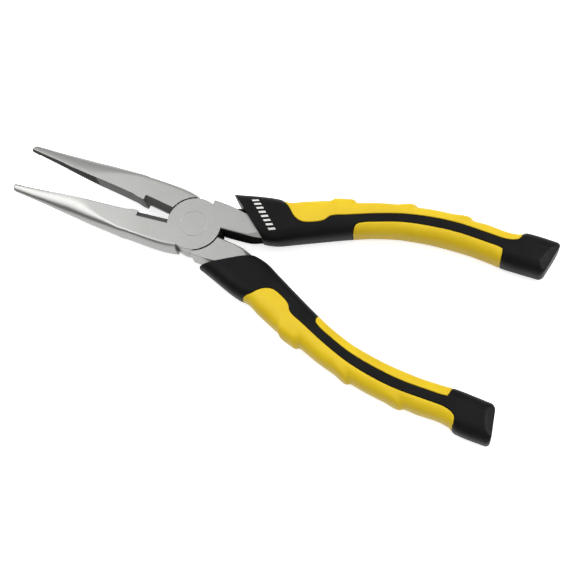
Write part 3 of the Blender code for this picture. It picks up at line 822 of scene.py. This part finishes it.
def build_pliers():
    """Every piece of the tool: the rivet, and then the front half's pieces and the rear half's."""
    steel, black, yellow = steel_material(), black_material(), yellow_material()
    place(turned("rivet", rivet_profile(0)), 1, "front", "pivot_rivet", steel)
    for body, side in (("front", 1), ("rear", -1)):
        place(steel_half(body + "_forging", side), side, body, body + "_half", steel)
        sleeve = grip_core(body + "_sleeve", side)
        if side > 0:
            place(guard_mark(sleeve), side, body, None, mark_material())
        place(sleeve, side, body, body + "_grip_core", black, MOULDED_SHARP)
        outer = inlay(body + "_outer_rubber", OUTER_INLAY_EDGE, OUTER_INLAY_BACK, side, ridges=True)
        place(outer, side, body, body + "_outer_inlay", yellow, MOULDED_SHARP)
        inner = inlay(body + "_inner_rubber", INNER_INLAY_EDGE, INNER_INLAY_BACK, side, ridges=False)
        place(inner, side, body, body + "_inner_inlay", yellow, MOULDED_SHARP)


# The studio.

# The camera: degrees round from -Y and up from the floor, its turn about its own axis, the point it looks at,
# its distance in metres, its lens in millimetres, and the nearest and farthest that it sees.
CAMERA_AZIMUTH, CAMERA_ELEVATION, CAMERA_ROLL = 39.706, 69.786, 18.289
CAMERA_AIM = Vector((0.04157, -0.00993, 0.00475))
CAMERA_DISTANCE, CAMERA_LENS = 0.39965, 68.5
CAMERA_NEAR, CAMERA_FAR = 0.01, 20

# The sky's brightness by height, and its dark patch: the patch's direction, and the cosines of the angles
# from it between which the sky darkens.
SKY_HEIGHTS, SKY_LEVELS = (0.1, 0.7), (0.62, 1.16)
DARK_PATCH = Vector((-0.52, -0.62, 0.59)).normalized()
DARK_PATCH_EDGE = (0.86, 0.94)

# The floor: pale for the camera and duller for the light that it throws back.
FLOOR_SIZE, FLOOR_DROP, FLOOR_ROUGHNESS = 3.0, 0.0005, 0.8
FLOOR_DULL, FLOOR_PALE = (0.5, 0.5, 0.5, 1), (0.95, 0.95, 0.95, 1)
FLOOR_GLOW_SEEN, FLOOR_GLOW_MIRRORED = 0.6, 0.85
WHITE = (1, 1, 1, 1)

# Three square lights at one distance. The key shapes the tool, and the other two only show as reflections.
LIGHT_DISTANCE = 0.9
LIGHTS = {"key": dict(direction=(-0.35, 0.5, 0.79), size=1.0, power=5.2, glossy=False),
          "overhead": dict(direction=(-0.64, -0.14, 0.75), size=0.6, power=3.6, diffuse=False),
          "fill": dict(direction=(0.62, 0.25, 0.67), size=0.6, power=9.0, diffuse=False)}


def camera():
    """The scene's camera."""
    azimuth, elevation = math.radians(CAMERA_AZIMUTH), math.radians(CAMERA_ELEVATION)
    back = Vector((math.sin(azimuth) * math.cos(elevation), -math.cos(azimuth) * math.cos(elevation),
                   math.sin(elevation)))
    data = bpy.data.cameras.new("camera")
    data.lens = CAMERA_LENS
    data.clip_start = CAMERA_NEAR
    data.clip_end = CAMERA_FAR
    obj = bpy.data.objects.new("camera", data)
    turn = back.to_track_quat("Z", "Y").to_matrix() @ Matrix.Rotation(math.radians(-CAMERA_ROLL), 3, "Z")
    obj.matrix_world = Matrix.Translation(CAMERA_AIM + back * CAMERA_DISTANCE) @ turn.to_4x4()
    bpy.context.scene.collection.objects.link(obj)
    bpy.context.scene.camera = obj


def floor():
    """A plain plane just under the grips. It glows a little where the camera or a reflection sees it."""
    bm = bmesh.new()
    bmesh.ops.create_grid(bm, x_segments=1, y_segments=1, size=FLOOR_SIZE)
    obj = object_from(bm, "floor")
    obj.location.z = GRIP_LOW.z - FLOOR_DROP
    made, nodes, shader = new_material("pale_floor")
    ray = nodes.add("ShaderNodeLightPath").outputs
    glow = nodes.maths("ADD", nodes.maths("MULTIPLY", ray["Is Camera Ray"], FLOOR_GLOW_SEEN),
                       nodes.maths("MULTIPLY", ray["Is Glossy Ray"], FLOOR_GLOW_MIRRORED))
    nodes.feed(shader, {"Base Color": nodes.mix(ray["Is Camera Ray"], FLOOR_DULL, FLOOR_PALE),
                        "Emission Strength": glow, "Emission Color": WHITE,
                        "Roughness": FLOOR_ROUGHNESS, "Specular IOR Level": 0.0})
    obj.data.materials.append(made)


def softbox(name, direction, size, power, diffuse=True, glossy=True):
    """A square area light that shines from direction at the point the camera looks at."""
    data = bpy.data.lights.new(name, "AREA")
    data.size = size
    data.energy = power
    obj = bpy.data.objects.new(name, data)
    obj.visible_diffuse = diffuse
    obj.visible_glossy = glossy
    away = Vector(direction).normalized()
    obj.matrix_world = (Matrix.Translation(CAMERA_AIM + away * LIGHT_DISTANCE)
                        @ away.to_track_quat("Z", "Y").to_matrix().to_4x4())
    bpy.context.scene.collection.objects.link(obj)


def sky():
    """A plain studio around the table: dim at the horizon, pale overhead, and one dark patch to mirror."""
    world = bpy.data.worlds.new("studio")
    world.use_nodes = True
    nodes = Nodes(world.node_tree)
    direction = nodes.add("ShaderNodeTexCoord").outputs["Generated"]
    height = nodes.add("ShaderNodeSeparateXYZ", {0: direction}).outputs["Z"]
    level = nodes.span(height, SKY_HEIGHTS, SKY_LEVELS)
    clear = nodes.span(nodes.dot(direction, DARK_PATCH), DARK_PATCH_EDGE, (1.0, 0.0))
    level = nodes.maths("MULTIPLY", level, clear)
    nodes.feed(world.node_tree.nodes["Background"], {"Color": WHITE, "Strength": level})
    bpy.context.scene.world = world


def studio():
    """Everything round the tool."""
    camera()
    floor()
    sky()
    for name, light in LIGHTS.items():
        softbox(name, **light)
    bpy.context.scene.view_settings.view_transform = "Standard"


build_pliers()
studio()
